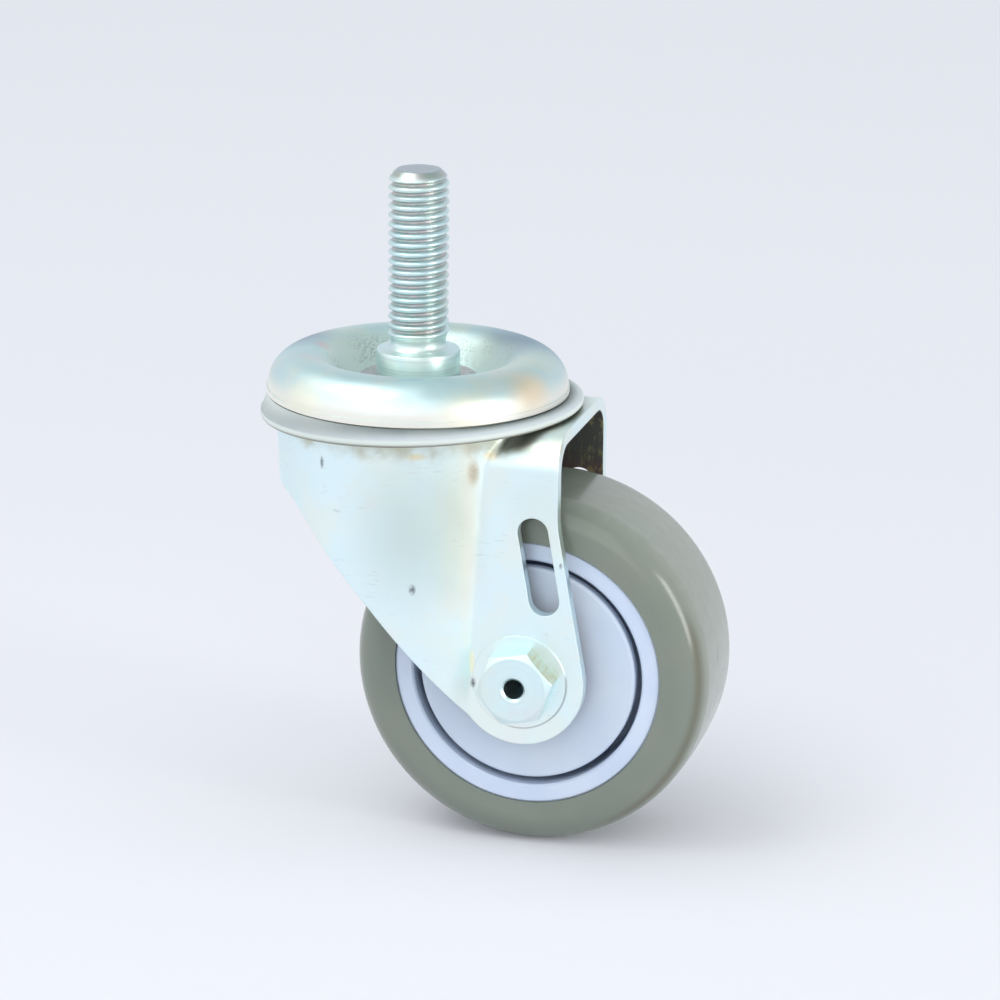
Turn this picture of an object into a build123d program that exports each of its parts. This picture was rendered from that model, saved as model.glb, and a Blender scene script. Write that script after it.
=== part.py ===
from build123d import *
import os
from math import asin, cos, degrees, radians, sin, sqrt, tan

# Swivel castor on a threaded stem, in millimetres.
# Origin: on the stem's axis at the collar's upper face. +Z runs up the stem, the wheel
# trails towards +X and its axle runs along Y. "left" is the -Y side, "right" the +Y side.

# How close an edge or corner is to the place it is looked for at.
NEAR = 0.01

# ---------------------------------------------------------------- driving dimensions
# Stem: one turned piece, a half-inch stud with a seating collar and a riveted shank.
STEM_D = 12.7
STEM_LENGTH = 38.1
STEM_CHAMFER = 1.75
COLLAR_D = 17.6
COLLAR_HEIGHT = 5.9
COLLAR_CHAMFER = 0.35
SHANK_D = 12.2
RIVET_HEAD_D = 16.0
RIVET_HEAD_HEIGHT = 2.6
RIVET_END_SHARE = 0.8
STEM_WASHER_D = 25.3
STEM_WASHER_T = 2.0
STEM_WASHER_ROUND = 0.6

# Upper raceway: a pressed dish with a rolled rim.
DISH_D = 63.6
DISH_T = 2.5
DISH_ROLL_R = 7.5
DISH_CREST_DROP = 0.5
DISH_LIP_DROP = 8.9
DISH_SLOPE_DEG = 50.0
DISH_FLOOR_BEND_R = 1.6
LIP_BAND_HEIGHT = 1.1
LIP_BAND_PROUD = 0.2

# Ball rows of the swivel.
UPPER_BALL_D = 5.556
UPPER_BALL_COUNT = 27
LOWER_BALL_D = 4.763
LOWER_BALL_COUNT = 19
LOWER_PITCH_D = 31.0

# Lower raceway: a pressed cup riveted under the dish.
CUP_T = 2.4
CUP_BEND_R = 1.2
CUP_RIM_HEIGHT = 3.4

# Fork: one pressed sheet with a round crown, a straight rear and two flat legs.
FORK_T = 2.7
FORK_WIDTH = 43.0
CROWN_BEND_R = 0.9
CROWN_PLATEAU = 3.2
CROWN_GROOVE_DEPTH = 0.55
CROWN_FLANGE_RUN = 2.5
FLANGE_HOLE_D = 25.0
WALL_TAPER = 0.039
WALL_STEP = 0.5
SHELF_DROP = 11.8
SHELF_BEND_R = 5.3
REAR_EDGE = 35.7
REAR_KNEE_DROP = 30.5
REAR_KNEE_R = 25.0
APRON_DROP = 25.2
APRON_CORNER = -20.5
APRON_CORNER_DROP = 29.6
APRON_CORNER_R = 9.0
ELBOW = -3.0
ELBOW_DROP = 48.6
ELBOW_R = 40.0
BOSS_D = 27.2
PAD_D = 20.0
PAD_PROUD = 0.3
CREASE_R = 2.0
SLOT_WIDTH = 6.5
SLOT_LENGTH = 21.0
SLOT_TILT_DEG = 9.9
SLOT_TOP_DROP = 32.0
SLOT_WEB = 5.6

# Grey seal that closes the gap between the dish and the fork's crown.
SEAL_OVERHANG = 2.2
SEAL_RIM_HEIGHT = 2.0
SEAL_SHIFT = 0.9
SEAL_TILT_DEG = 2.6

# Wheel and axle.
TRAIL = 28.0
WHEEL_D = 76.2
TREAD_WIDTH = 31.8
TREAD_T = 9.6
TREAD_SHOULDER_R = 6.4
TREAD_CROWN = 0.7
CORE_WIDTH = 31.0
CORE_RIM_T = 3.9
CORE_WEB_T = 5.0
CORE_HUB_D = 30.0
CORE_FILLET_R = 2.0
CORE_RIM_CHAMFER = 0.4
WEB_OVERLAP = 1.0
LOCK_RIB_WIDTH = 8.0
LOCK_RIB_HEIGHT = 2.4
HUB_LENGTH = 24.0
AXLE_D = 9.4
HEX_ACROSS_FLATS = 14.3
HEX_HEIGHT = 5.3
HEX_TURN_DEG = 10.6
HEX_FACE_D = 13.4
HEAD_HOLE_D = 4.2
HEAD_HOLE_DEPTH = 12.0
NUT_HEIGHT = 5.6
NUT_COLLAR_HEIGHT = 1.8
NUT_COLLAR_D = 12.6
NUT_WASHER_D = 20.0
NUT_WASHER_T = 1.6
AXLE_END_PROUD = 1.2
GUARD_T = 1.3
GUARD_FACE = 15.2
GUARD_RIM_DEPTH = 2.4
GUARD_BOSS_D = 15.0
SPACER_D = 12.6

# Wheel bearings, inch size R6.
BEARING_BORE_D = 9.525
BEARING_D = 22.225
BEARING_WIDTH = 7.142
BEARING_PITCH_D = 15.875
BEARING_BALL_D = 3.969
BEARING_BALL_COUNT = 7
RING_LAND_T = 1.55
SHIELD_T = 0.3
CAGE_T = 1.4
CAGE_DEPTH = 3.0

# Clearances.
RACE_CLEARANCE = 0.05
HOLE_CLEARANCE = 0.15
FLANGE_CLEARANCE = 1.1
NECK_CLEARANCE = 0.6
RIM_CLEARANCE = 0.7
WHEEL_CLEARANCE = 4.737
SEAL_CLEARANCE = 0.3
SEAL_BORE_CLEARANCE = 1.2
SEAL_SEAT_CLEARANCE = 0.15
CAGE_CLEARANCE = 0.08
SHIELD_CLEARANCE = 0.4
GUARD_CLEARANCE = 1.5

# ---------------------------------------------------------------- places worked out
DISH_R = DISH_D / 2
WASHER_TOP = -COLLAR_HEIGHT
FLOOR_TOP = WASHER_TOP - STEM_WASHER_T
FLOOR_UNDER = FLOOR_TOP - DISH_T
CREST_TOP = -DISH_CREST_DROP
SHANK_HOLE_R = SHANK_D / 2 + HOLE_CLEARANCE

UPPER_PITCH_R = DISH_R - DISH_ROLL_R
UPPER_BALL_R = UPPER_BALL_D / 2
UPPER_BALL_Z = CREST_TOP - DISH_T - RACE_CLEARANCE - UPPER_BALL_R
GROOVE_BOTTOM = UPPER_BALL_Z - UPPER_BALL_R - RACE_CLEARANCE
CROWN_TOP = GROOVE_BOTTOM + CROWN_GROOVE_DEPTH
WALL_R = DISH_R - DISH_T + WALL_STEP

FLANGE_TOP = FLOOR_UNDER - FLANGE_CLEARANCE
FLANGE_UNDER = FLANGE_TOP - FORK_T
LOWER_PITCH_R = LOWER_PITCH_D / 2
LOWER_BALL_R = LOWER_BALL_D / 2
LOWER_BALL_Z = FLANGE_UNDER - RACE_CLEARANCE - LOWER_BALL_R
CUP_FLOOR = LOWER_BALL_Z - LOWER_BALL_R - RACE_CLEARANCE
CUP_NECK_R = FLANGE_HOLE_D / 2 - NECK_CLEARANCE
CUP_RIM_R = LOWER_PITCH_R + LOWER_BALL_R + RIM_CLEARANCE
RIVET_TOP = FLOOR_UNDER - CUP_T

WHEEL_R = WHEEL_D / 2
CORE_R = WHEEL_R - TREAD_T
CORE_RIM_INNER = CORE_R - CORE_RIM_T
AXLE_Z = CUP_FLOOR - CUP_T - WHEEL_CLEARANCE - WHEEL_R
LEG_OUTER = FORK_WIDTH / 2
LEG_INNER = LEG_OUTER - FORK_T
PAD_FACE = LEG_OUTER + PAD_PROUD
BELOW_ALL = AXLE_Z - WHEEL_R
HUB_END = HUB_LENGTH / 2
BEARING_SEAT = HUB_END - BEARING_WIDTH
BEARING_MIDDLE = HUB_END - BEARING_WIDTH / 2
BEARING_PITCH_R = BEARING_PITCH_D / 2
BEARING_BALL_R = BEARING_BALL_D / 2
AXLE_HOLE_R = AXLE_D / 2 + HOLE_CLEARANCE


# ---------------------------------------------------------------- shared shapes
def right_normal(start, end):
    """Unit vector to the right of the run from start to end, in the section's plane."""
    run = (end - start).normalized()
    return Vector(run.Y, -run.X)


def inset_points(points, depth):
    """The same line of runs moved sideways to its right by depth, corner by corner."""
    normals = [right_normal(a, b) for a, b in zip(points, points[1:])]
    shifts = [normals[0]]
    for before, after in zip(normals, normals[1:]):
        shifts.append((before + after) / (1 + before.dot(after)))
    shifts.append(normals[-1])
    return [point + shift * depth for point, shift in zip(points, shifts)]


def turns_left(before, corner, after):
    """True where the line of a section bends upwards, towards its left-hand side."""
    return right_normal(before, corner).dot(after - corner) < 0


def sheet_faces(points, bend_radii, thickness):
    """Upper and lower face line of a bent sheet. The radii are those inside each bend."""
    corners = zip(points, points[1:], points[2:], bend_radii)
    left_bends = [turns_left(a, b, c) for a, b, c, _ in corners]
    upper_radii = [r if left else r + thickness for r, left in zip(bend_radii, left_bends)]
    lower_radii = [r + thickness if left else r for r, left in zip(bend_radii, left_bends)]
    upper = FilletPolyline(*points, radius=upper_radii)
    lower = FilletPolyline(*inset_points(points, thickness), radius=lower_radii)
    return upper, lower


def revolved_sheet(points, bend_radii, thickness):
    """A pressed round sheet: points run outwards along its upper face as (radius, height)."""
    upper, lower = sheet_faces([Vector(*p) for p in points], bend_radii, thickness)
    ends = Line(upper @ 1, lower @ 1) + Line(lower @ 0, upper @ 0)
    return revolve(Plane.XZ * make_face(upper + lower + ends), Axis.Z)


def turned(points):
    """A body turned about Z from the closed outline (radius, height)."""
    return revolve(Plane.XZ * make_face(Polyline(*points, close=True)), Axis.Z)


def ring(outer_r, inner_r, low, high):
    """A plain ring about Z between two heights."""
    section = Pos((outer_r + inner_r) / 2, (low + high) / 2) * Rectangle(outer_r - inner_r, high - low)
    return revolve(Plane.XZ * section, Axis.Z)


def ball_row(pitch_r, ball_r, count, height=0.0):
    """Loose balls set evenly on a circle about Z."""
    step = 360 / count
    return [Rot(0, 0, step * i) * Pos(pitch_r, 0, height) * Sphere(ball_r) for i in range(count)]


def race_cutter(pitch_r, ball_r, height=0.0):
    """The ring-shaped space that a row of balls sweeps, with its running clearance."""
    return Pos(0, 0, height) * Torus(pitch_r, ball_r + RACE_CLEARANCE)


def axle_frame(side):
    """Frame on the axle with +Z outwards from the wheel's middle: side -1 left, +1 right."""
    return Plane(origin=(TRAIL, 0, AXLE_Z), x_dir=(1, 0, 0), z_dir=(0, side, 0))


def hexagon(height):
    """A hexagonal prism about Z, set at the angle it was tightened to."""
    profile = RegularPolygon(HEX_ACROSS_FLATS / 2, 6, major_radius=False, rotation=HEX_TURN_DEG)
    return extrude(profile, height)


# ---------------------------------------------------------------- swivel pieces
def make_threaded_stem():
    stem_r = STEM_D / 2
    collar_r = COLLAR_D / 2
    shank_r = SHANK_D / 2
    head_r = RIVET_HEAD_D / 2
    body = turned([
        (0, STEM_LENGTH),
        (stem_r - STEM_CHAMFER, STEM_LENGTH),
        (stem_r, STEM_LENGTH - STEM_CHAMFER),
        (stem_r, 0),
        (collar_r, 0),
        (collar_r, WASHER_TOP),
        (shank_r, WASHER_TOP),
        (shank_r, RIVET_TOP),
        (head_r, RIVET_TOP),
        (head_r * RIVET_END_SHARE, RIVET_TOP - RIVET_HEAD_HEIGHT),
        (0, RIVET_TOP - RIVET_HEAD_HEIGHT),
    ])
    collar_edges = body.edges().filter_by(GeomType.CIRCLE).filter_by_position(Axis.Z, WASHER_TOP, 0)
    outer_edges = [edge for edge in collar_edges if abs(edge.radius - collar_r) < NEAR]
    return chamfer(outer_edges, COLLAR_CHAMFER)


def make_stem_washer():
    washer = ring(STEM_WASHER_D / 2, SHANK_HOLE_R, FLOOR_TOP, WASHER_TOP)
    top_edge = washer.edges().filter_by(GeomType.CIRCLE).group_by(Axis.Z)[-1].sort_by(SortBy.RADIUS)[-1]
    return fillet(top_edge, STEM_WASHER_ROUND)


def make_upper_raceway_dish():
    slope = radians(DISH_SLOPE_DEG)
    crest_corner = UPPER_PITCH_R - DISH_ROLL_R * tan(slope / 2) - LIP_BAND_PROUD
    floor_corner = crest_corner - (CREST_TOP - FLOOR_TOP) / tan(slope)
    roll_bend = DISH_ROLL_R - DISH_T - LIP_BAND_PROUD
    dish = revolved_sheet(
        [
            (SHANK_HOLE_R, FLOOR_TOP),
            (floor_corner, FLOOR_TOP),
            (crest_corner, CREST_TOP),
            (DISH_R - LIP_BAND_PROUD, CREST_TOP),
            (DISH_R - LIP_BAND_PROUD, -DISH_LIP_DROP),
        ],
        [DISH_FLOOR_BEND_R, roll_bend, roll_bend],
        DISH_T,
    )
    lip_band = ring(
        DISH_R, DISH_R - DISH_T / 2, -DISH_LIP_DROP, LIP_BAND_HEIGHT - DISH_LIP_DROP
    )
    return dish + lip_band


def make_lower_raceway_cup():
    return revolved_sheet(
        [
            (SHANK_HOLE_R, FLOOR_UNDER),
            (CUP_NECK_R, FLOOR_UNDER),
            (CUP_NECK_R, CUP_FLOOR),
            (CUP_RIM_R, CUP_FLOOR),
            (CUP_RIM_R, CUP_FLOOR + CUP_RIM_HEIGHT),
        ],
        [CUP_BEND_R] * 3,
        CUP_T,
    )


def make_raceway_seal():
    """A soft ring under the dish. Its top lies level, and its rim droops away from the shelf."""
    bore_r = WALL_R + SEAL_BORE_CLEARANCE
    shelf_half = LEG_OUTER - SHELF_BEND_R - FORK_T
    seat = sqrt(bore_r**2 - shelf_half**2) - SEAL_SHIFT
    rim_bottom = SEAL_SEAT_CLEARANCE - SHELF_DROP - seat * tan(radians(SEAL_TILT_DEG))
    rim_frame = Pos(SEAL_SHIFT, 0, rim_bottom) * Rot(0, -SEAL_TILT_DEG, 0)
    rim_r = DISH_R + SEAL_OVERHANG
    band = rim_frame * extrude(Circle(rim_r), SEAL_RIM_HEIGHT)
    rim = rim_frame * Pos(0, 0, SEAL_RIM_HEIGHT) * Circle(rim_r)
    top = Pos(0, 0, -DISH_LIP_DROP - SEAL_CLEARANCE) * Circle(DISH_R - SEAL_CLEARANCE / 2)
    return band + loft([rim, top]) - ring(bore_r, 0, BELOW_ALL, 0)


# ---------------------------------------------------------------- fork
def crown_form(inset):
    """All that lies inside the round crown's skin, or inside its inner face when inset."""
    crown_inner = UPPER_PITCH_R - CROWN_PLATEAU
    depth = CROWN_TOP - BELOW_ALL
    wall_top_r = WALL_R + WALL_TAPER * (CROWN_TOP + SHELF_DROP)
    skin = [
        Vector(-1, FLANGE_TOP),
        Vector(crown_inner - CROWN_FLANGE_RUN, FLANGE_TOP),
        Vector(crown_inner, CROWN_TOP),
        Vector(wall_top_r, CROWN_TOP),
        Vector(wall_top_r - WALL_TAPER * depth, BELOW_ALL),
    ]
    bends = [CROWN_BEND_R] * 3
    upper, lower = sheet_faces(skin, bends, FORK_T)
    line = lower if inset else upper
    start = line @ 0
    end = line @ 1
    foot = Polyline(end, (start.X, end.Y), start)
    half_plane = Pos(DISH_R, BELOW_ALL / 2) * Rectangle(2 * DISH_R, -3 * BELOW_ALL)
    section = make_face(line + foot) & half_plane
    return revolve(Plane.XZ * section, Axis.Z)


def channel_form(inset):
    """All that lies inside the straight rear: a flat-topped channel that runs back along X."""
    width = FORK_WIDTH - 2 * inset
    top = -SHELF_DROP - inset
    profile = Pos(0, (top + BELOW_ALL) / 2) * Rectangle(width, top - BELOW_ALL)
    profile = fillet(profile.vertices().group_by(Axis.Y)[-1], SHELF_BEND_R + FORK_T - inset)
    return extrude(Plane.YZ * profile, TRAIL + BOSS_D)


def tangent_point(point, centre, radius, side):
    """Where a line from point touches a circle, on its left (side +1) or its right (-1)."""
    to_centre = centre - point
    reach = to_centre.length
    swing = side * degrees(asin(radius / reach))
    direction = to_centre.normalized().rotate(Axis.Z, swing)
    return point + direction * (reach * cos(radians(swing)))


def side_outline():
    """The fork's trimmed outline seen from the side, as (X, Z)."""
    boss = Vector(TRAIL, AXLE_Z)
    boss_r = BOSS_D / 2
    elbow = Vector(ELBOW, -ELBOW_DROP)
    knee = Vector(REAR_EDGE, -REAR_KNEE_DROP)
    corner = Vector(APRON_CORNER, -APRON_CORNER_DROP)
    front = -WALL_R - FORK_T
    points = [
        Vector(front, FORK_T),
        Vector(front, -APRON_DROP),
        corner,
        elbow,
        tangent_point(elbow, boss, boss_r, -1),
        boss,
        tangent_point(knee, boss, boss_r, 1),
        knee,
        Vector(REAR_EDGE, FORK_T),
    ]
    outline = make_face(Polyline(*points, close=True))
    for place, radius in ((corner, APRON_CORNER_R), (elbow, ELBOW_R), (knee, REAR_KNEE_R)):
        outline = fillet(outline.vertices().sort_by_distance(place)[0], radius)
    return outline + Pos(TRAIL, AXLE_Z) * Circle(boss_r)


def leg_slot():
    """A long hole behind the wheel's middle, parallel to the leg's slanted rear edge."""
    tilt = radians(SLOT_TILT_DEG)
    reach = SLOT_LENGTH - SLOT_WIDTH
    top = Vector(REAR_EDGE - SLOT_WEB + SLOT_WIDTH / 16, -SLOT_TOP_DROP)
    middle = top + Vector(sin(tilt), -cos(tilt)) * (reach / 2)
    return Pos(middle.X, middle.Y) * SlotCenterToCenter(reach, SLOT_WIDTH, rotation=90 + SLOT_TILT_DEG)


def through_legs(profile):
    """A side-view profile (X, Z) carried right through both legs."""
    return extrude(Plane.XZ * profile, FORK_WIDTH, both=True)


def make_fork():
    crown = crown_form(0)
    channel = channel_form(0)
    outer = crown + channel
    outer = fillet(new_edges(crown, channel, combined=outer), CREASE_R)
    inner = crown_form(FORK_T) + channel_form(FORK_T)
    fork = (outer - inner) & through_legs(side_outline())
    for side in (-1, 1):
        fork += axle_frame(side) * Pos(0, 0, LEG_OUTER) * Cylinder(
            PAD_D / 2, PAD_PROUD, align=(Align.CENTER, Align.CENTER, Align.MIN)
        )
    fork -= through_legs(leg_slot())
    fork -= through_legs(Pos(TRAIL, AXLE_Z) * Circle(AXLE_HOLE_R))
    fork -= race_cutter(UPPER_PITCH_R, UPPER_BALL_R, UPPER_BALL_Z)
    fork -= ring(FLANGE_HOLE_D / 2, 0, BELOW_ALL, 0)
    return fork


# ---------------------------------------------------------------- axle pieces
def domed_hexagon(height):
    """A hexagon whose outer corners are turned down to a round face."""
    corner_r = HEX_ACROSS_FLATS / 2 / cos(radians(30))
    face_r = HEX_FACE_D / 2
    drop = (corner_r - face_r) * tan(radians(30))
    blank = turned([(0, 0), (corner_r, 0), (corner_r, height - drop), (face_r, height), (0, height)])
    return hexagon(height) & blank


def make_axle_bolt():
    """Head on the left leg, with a blind hole drilled in it. Shank runs through to the right."""
    nut_end = PAD_FACE + NUT_WASHER_T + NUT_HEIGHT + NUT_COLLAR_HEIGHT
    shank_r = AXLE_D / 2
    hole_r = HEAD_HOLE_D / 2
    shank_end = -nut_end - AXLE_END_PROUD
    shank = turned([
        (0, PAD_FACE),
        (shank_r, PAD_FACE),
        (shank_r, shank_end + shank_r * 0.2),
        (shank_r * 0.8, shank_end),
        (0, shank_end),
    ])
    face = PAD_FACE + HEX_HEIGHT
    drill = turned([
        (0, face + hole_r),
        (hole_r * 1.25, face + hole_r),
        (hole_r * 1.25, face),
        (hole_r, face - hole_r * 0.25),
        (hole_r, face - HEAD_HOLE_DEPTH),
        (0, face - HEAD_HOLE_DEPTH - hole_r * tan(radians(31))),
    ])
    bolt = Pos(0, 0, PAD_FACE) * domed_hexagon(HEX_HEIGHT) + shank - drill
    return axle_frame(-1) * bolt


def make_nut_washer():
    washer = ring(NUT_WASHER_D / 2, AXLE_HOLE_R, PAD_FACE, PAD_FACE + NUT_WASHER_T)
    return axle_frame(1) * washer


def make_lock_nut():
    """A hexagon with a round locking collar on its outer face."""
    seat = PAD_FACE + NUT_WASHER_T
    collar = ring(NUT_COLLAR_D / 2, 0, seat, seat + NUT_HEIGHT + NUT_COLLAR_HEIGHT)
    collar = fillet(collar.edges().filter_by(GeomType.CIRCLE).group_by(Axis.Z)[-1], NUT_COLLAR_HEIGHT / 2)
    nut = Pos(0, 0, seat) * domed_hexagon(NUT_HEIGHT) + collar
    bore = ring(AXLE_HOLE_R, 0, 0, 2 * FORK_WIDTH)
    return axle_frame(1) * (nut - bore)


def make_bearing_spacer():
    return axle_frame(1) * ring(SPACER_D / 2, AXLE_HOLE_R, -BEARING_SEAT, BEARING_SEAT)


def make_thread_guard(side):
    """A dished cover over the hub, gripped between the leg and the bearing's inner ring."""
    rim_r = CORE_RIM_INNER - GUARD_CLEARANCE
    boss_r = GUARD_BOSS_D / 2
    inner_face = GUARD_FACE - GUARD_T
    guard = turned([
        (AXLE_HOLE_R, HUB_END),
        (SPACER_D / 2, HUB_END),
        (boss_r, inner_face),
        (rim_r - GUARD_T, inner_face),
        (rim_r - GUARD_T, GUARD_FACE - GUARD_RIM_DEPTH),
        (rim_r, GUARD_FACE - GUARD_RIM_DEPTH),
        (rim_r, GUARD_FACE),
        (boss_r, GUARD_FACE),
        (boss_r, LEG_INNER),
        (AXLE_HOLE_R, LEG_INNER),
    ])
    rim_edges = guard.edges().filter_by(GeomType.CIRCLE).filter_by_position(
        Axis.Z, GUARD_FACE - NEAR, GUARD_FACE + NEAR
    )
    guard = fillet(rim_edges.sort_by(SortBy.RADIUS)[-1], GUARD_T * 0.6)
    return axle_frame(side) * guard


# ---------------------------------------------------------------- wheel bearings
def bearing_frame(side):
    """Frame at the middle of one bearing, with +Z outwards along the axle."""
    return axle_frame(side) * Pos(0, 0, BEARING_MIDDLE)


def make_bearing_ring(side, outer_r, inner_r):
    """One hardened ring with its ball groove."""
    half = BEARING_WIDTH / 2
    blank = ring(outer_r, inner_r, -half, half)
    edges = blank.edges().filter_by(GeomType.CIRCLE)
    blank = chamfer(edges, RING_LAND_T * 0.15)
    return bearing_frame(side) * (blank - race_cutter(BEARING_PITCH_R, BEARING_BALL_R))


def make_bearing_inner_ring(side):
    bore_r = BEARING_BORE_D / 2
    return make_bearing_ring(side, bore_r + RING_LAND_T, bore_r)


def make_bearing_outer_ring(side):
    ring_r = BEARING_D / 2
    return make_bearing_ring(side, ring_r, ring_r - RING_LAND_T)


def make_bearing_balls(side):
    balls = ball_row(BEARING_PITCH_R, BEARING_BALL_R, BEARING_BALL_COUNT)
    return [bearing_frame(side) * ball for ball in balls]


def make_bearing_cage(side):
    """A crown cage: a ring beside the balls whose fingers reach between them."""
    back = BEARING_BALL_R + CAGE_CLEARANCE + SHIELD_T * 2
    cage = ring(BEARING_PITCH_R + CAGE_T / 2, BEARING_PITCH_R - CAGE_T / 2, back - CAGE_DEPTH, back)
    for pocket in ball_row(BEARING_PITCH_R, BEARING_BALL_R + CAGE_CLEARANCE, BEARING_BALL_COUNT):
        cage -= pocket
    return bearing_frame(side) * cage


def make_bearing_shield(side, face):
    """A thin ring carried by the outer ring, inside one face of the bearing."""
    outer_r = BEARING_D / 2 - RING_LAND_T
    inner_r = BEARING_BORE_D / 2 + RING_LAND_T + SHIELD_CLEARANCE
    edge = BEARING_WIDTH / 2 - SHIELD_T / 2
    low, high = sorted((face * edge, face * (edge - SHIELD_T)))
    return bearing_frame(side) * ring(outer_r, inner_r, low, high)


# ---------------------------------------------------------------- wheel
def wheel_section(rectangles):
    """Section of the wheel in (radius, width): each rectangle is (inner_r, outer_r, width)."""
    section = Sketch()
    for inner_r, outer_r, width in rectangles:
        section += Pos((inner_r + outer_r) / 2, 0) * Rectangle(outer_r - inner_r, width)
    return section


def lock_rib():
    """The rib that keys the tread to the core."""
    return wheel_section([(CORE_R - CORE_RIM_T / 2, CORE_R + LOCK_RIB_HEIGHT, LOCK_RIB_WIDTH)])


def make_wheel_core():
    hub_r = CORE_HUB_D / 2
    bearing_r = BEARING_D / 2
    stop_r = bearing_r - RING_LAND_T
    section = wheel_section([
        (CORE_RIM_INNER, CORE_R, CORE_WIDTH),
        (hub_r - WEB_OVERLAP, CORE_RIM_INNER + WEB_OVERLAP, CORE_WEB_T),
        (stop_r, hub_r, 2 * BEARING_SEAT),
        (bearing_r, hub_r, HUB_LENGTH),
    ])
    corners = [v for v in section.vertices() if abs(abs(v.Y) - CORE_WEB_T / 2) < NEAR]
    section = fillet(corners, CORE_FILLET_R) + lock_rib()
    rim_edges = [v for v in section.vertices() if abs(abs(v.Y) - CORE_WIDTH / 2) < NEAR]
    section = chamfer(rim_edges, CORE_RIM_CHAMFER)
    return axle_frame(1) * revolve(Plane.XZ * section, Axis.Z)


def make_tread():
    half = TREAD_WIDTH / 2
    shoulder_r = WHEEL_R - TREAD_CROWN
    crown = ThreePointArc((shoulder_r, -half), (WHEEL_R, 0), (shoulder_r, half))
    sides = Polyline((shoulder_r, half), (CORE_R, half), (CORE_R, -half), (shoulder_r, -half))
    section = make_face(crown + sides)
    shoulders = section.vertices().sort_by(Axis.X)[-2:]
    section = fillet(shoulders, TREAD_SHOULDER_R) - lock_rib()
    return axle_frame(1) * revolve(Plane.XZ * section, Axis.Z)


# ---------------------------------------------------------------- all pieces
def make_pieces():
    """Every piece by name, each as a list of its solids."""
    pieces = {
        "threaded_stem": make_threaded_stem(),
        "stem_washer": make_stem_washer(),
        "upper_raceway_dish": make_upper_raceway_dish(),
        "lower_raceway_cup": make_lower_raceway_cup(),
        "upper_balls": ball_row(UPPER_PITCH_R, UPPER_BALL_R, UPPER_BALL_COUNT, UPPER_BALL_Z),
        "lower_balls": ball_row(LOWER_PITCH_R, LOWER_BALL_R, LOWER_BALL_COUNT, LOWER_BALL_Z),
        "raceway_seal": make_raceway_seal(),
        "fork": make_fork(),
        "axle_bolt": make_axle_bolt(),
        "nut_washer": make_nut_washer(),
        "lock_nut": make_lock_nut(),
        "bearing_spacer": make_bearing_spacer(),
        "wheel_core": make_wheel_core(),
        "tread": make_tread(),
    }
    for name, side in (("left", -1), ("right", 1)):
        pieces[name + "_thread_guard"] = make_thread_guard(side)
        pieces[name + "_bearing_inner_ring"] = make_bearing_inner_ring(side)
        pieces[name + "_bearing_outer_ring"] = make_bearing_outer_ring(side)
        pieces[name + "_bearing_balls"] = make_bearing_balls(side)
        pieces[name + "_bearing_cage"] = make_bearing_cage(side)
        pieces[name + "_bearing_outer_shield"] = make_bearing_shield(side, 1)
        pieces[name + "_bearing_inner_shield"] = make_bearing_shield(side, -1)
    return pieces


def solids_of(piece):
    """The separate solids of one piece or of a group of like pieces."""
    members = piece if isinstance(piece, list) else [piece]
    return [solid for member in members for solid in member.solids()]


os.makedirs("parts", exist_ok=True)
for node, piece in make_pieces().items():
    export_step(Compound(children=solids_of(piece)), "parts/" + node + ".step")
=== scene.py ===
from math import ceil, cos, pi, radians, sin, sqrt

import bmesh
import bpy
from mathutils import Matrix, Vector

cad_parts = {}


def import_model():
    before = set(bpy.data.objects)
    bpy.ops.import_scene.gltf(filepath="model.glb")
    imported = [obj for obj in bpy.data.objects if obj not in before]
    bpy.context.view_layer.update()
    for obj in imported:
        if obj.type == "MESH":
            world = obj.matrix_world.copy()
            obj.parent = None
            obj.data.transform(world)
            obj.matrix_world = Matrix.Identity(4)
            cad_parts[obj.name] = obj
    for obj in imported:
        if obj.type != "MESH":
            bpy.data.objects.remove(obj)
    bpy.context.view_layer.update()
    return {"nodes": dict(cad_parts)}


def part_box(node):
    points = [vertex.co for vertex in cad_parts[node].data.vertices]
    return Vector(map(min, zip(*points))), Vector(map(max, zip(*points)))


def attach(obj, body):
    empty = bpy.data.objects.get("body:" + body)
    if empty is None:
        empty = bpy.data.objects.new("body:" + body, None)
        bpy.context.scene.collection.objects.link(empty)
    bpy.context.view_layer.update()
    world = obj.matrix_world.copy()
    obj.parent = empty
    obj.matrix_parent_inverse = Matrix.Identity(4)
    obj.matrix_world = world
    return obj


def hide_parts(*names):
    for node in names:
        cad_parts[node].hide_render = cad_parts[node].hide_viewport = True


# The looks of a swivel castor: materials for the CAD nodes, a stud with a real thread, a grey
# ring with a soft rim, and the floor, lamps and camera of the photograph.
# Blender's unit is the metre. Sizes here are millimetres, and are multiplied by MM where used.
MM = 0.001

# ---------------------------------------------------------------- the photograph's view
# The camera looks from in front, a little right of the wheel's side and from above.
CAMERA_AZIMUTH = 14.51
CAMERA_ELEVATION = 16.20
CAMERA_ROLL = 0.49
CAMERA_DISTANCE = 0.90166
CAMERA_AIM = Vector((18.3, -1.4, -31.4)) * MM
CAMERA_LENS = 154.5
SENSOR = 36.0

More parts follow.
